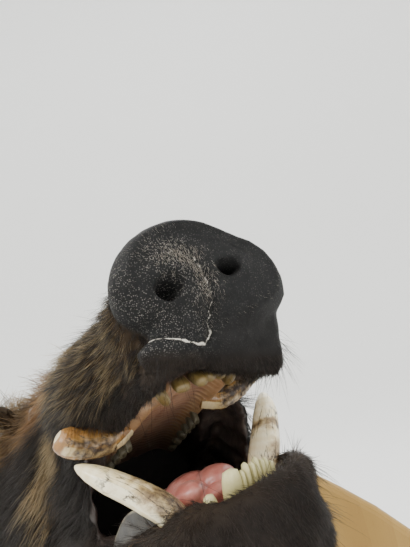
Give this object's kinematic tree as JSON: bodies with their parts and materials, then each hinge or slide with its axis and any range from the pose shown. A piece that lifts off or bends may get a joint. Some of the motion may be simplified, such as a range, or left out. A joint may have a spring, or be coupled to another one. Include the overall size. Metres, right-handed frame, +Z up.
{
  "type": "mounted wild boar head",
  "caption": "Life-size wild boar head with open mouth and tusks, turned and raised on a neck and shoulder mount, fixed to a pale wooden wall shield",
  "frame": {"origin": "middle of the shield's back, on the wall plane", "axes": "+Y into the wall, +Z up, +X to the animal's left; the head stands out towards -Y, turned 45 degrees towards +X and raised 25 degrees"},
  "size_m": [0.67, 0.479, 0.8146],
  "materials": {
    "pale_wood": "clear satin varnish",
    "zinc_steel": "zinc plated",
    "hide": "dark hide under bristly coat",
    "nose": "dark grainy nose skin",
    "eye_glass": "polished dark brown glass",
    "ivory": "worn tooth ivory, stained",
    "gum": "wet look gum and palate",
    "tongue": "wet look pink tongue"
  },
  "bodies": {
    "root": {"shield": "pale_wood", "hanger_plate": "zinc_steel", "neck": "hide", "head": "hide", "muzzle": "hide", "lower_jaw": "hide", "ear_left": "hide", "ear_right": "hide", "snout": "nose", "eye_left": "eye_glass", "eye_right": "eye_glass", "upper_tusk_left": "ivory", "upper_tusk_right": "ivory", "lower_tusk_left": "ivory", "lower_tusk_right": "ivory", "palate_teeth": "gum", "lower_gum_teeth": "gum", "tongue": "tongue"}
  },
  "joints": []
}
